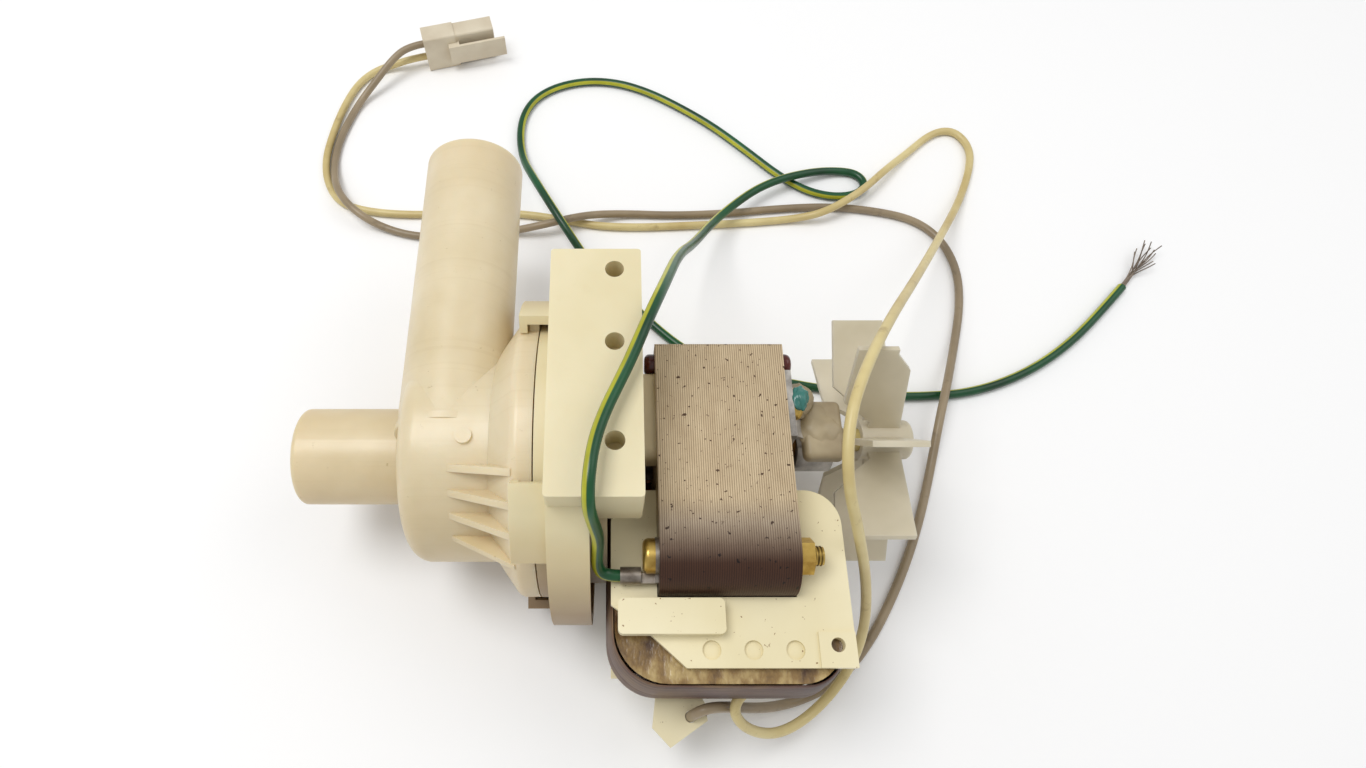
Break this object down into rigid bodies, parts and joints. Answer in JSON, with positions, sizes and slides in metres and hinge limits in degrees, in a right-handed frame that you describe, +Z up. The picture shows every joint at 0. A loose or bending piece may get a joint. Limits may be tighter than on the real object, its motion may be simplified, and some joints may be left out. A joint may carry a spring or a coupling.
{
  "type": "washer drain pump",
  "caption": "Drain pump of a washing machine: volute housing with inlet and outlet spigots, bracket with mounting foot, shaded pole motor, cooling fan, wire leads and a connector.",
  "frame": {"origin": "middle of the footprint of the pump without its leads, on the table it lies on", "axes": "+X along the shaft from the inlet spigot to the cooling fan, +Y along the outlet spigot, +Z up, out of the mounting face of the foot"},
  "size_m": [0.2817, 0.2432, 0.0789],
  "materials": {
    "milky_plastic": "milky translucent moulded plastic, slightly glossy, aged",
    "cream_plastic": "cream moulded plastic, aged",
    "bobbin_plastic": "cream moulded plastic with a few stains",
    "black_rubber": "moulded rubber",
    "stack_steel": "bare laminated steel with specks of rust",
    "copper": "copper",
    "coil_tape": "clear brown tape",
    "shaft_steel": "ground steel",
    "rotor_steel": "bare laminated steel",
    "cast_aluminium": "cast",
    "sintered_bronze": "sintered bronze",
    "washer_plastic": "plastic",
    "bridge_metal": "die-cast metal",
    "yellow_zinc": "yellow zinc plated steel",
    "rivet_lacquer": "dark red-brown lacquer",
    "impeller_plastic": "moulded plastic",
    "fan_plastic": "translucent white moulded plastic",
    "sleeve_plastic": "yellowed plastic",
    "glue": "set grey-white glue",
    "tinned_metal": "tinned brass",
    "connector_plastic": "off-white moulded plastic",
    "yellow_pvc": "pale yellow insulation, stained",
    "grey_pvc": "warm grey insulation, stained",
    "green_pvc": "dark green insulation with a yellow stripe",
    "wire_strands": "tinned copper strands"
  },
  "bodies": {
    "pump_body": {"volute_housing": "milky_plastic", "pump_bracket": "cream_plastic", "housing_seal_ring": "black_rubber", "shaft_seal": "black_rubber", "stator_stack": "stack_steel", "coil_core": "stack_steel", "shading_rings": "copper", "bobbin": "bobbin_plastic", "winding": "copper", "tape_wrap": "coil_tape", "bearing_bushes": "sintered_bronze", "rear_bridge": "bridge_metal", "motor_screws": "yellow_zinc", "clamp_screws": "yellow_zinc", "clamp_nuts": "yellow_zinc", "stack_rivets": "rivet_lacquer", "bearing_glue": "glue", "earth_terminal": "tinned_metal", "connector_housing": "connector_plastic", "connector_contacts": "tinned_metal", "yellow_lead": "yellow_pvc", "grey_lead": "grey_pvc", "earth_lead": "green_pvc", "earth_strands": "wire_strands"},
    "rotor": {"shaft": "shaft_steel", "rotor_core": "rotor_steel", "rotor_end_rings": "cast_aluminium", "thrust_washers": "washer_plastic", "impeller": "impeller_plastic", "fan": "fan_plastic", "fan_sleeve": "sleeve_plastic"}
  },
  "joints": [
    {"name": "rotor_spin", "type": "hinge", "parent": "pump_body", "child": "rotor", "pos_m": [0, -0.00225, 0.0312], "axis": [1, 0, 0], "continuous": true}
  ]
}
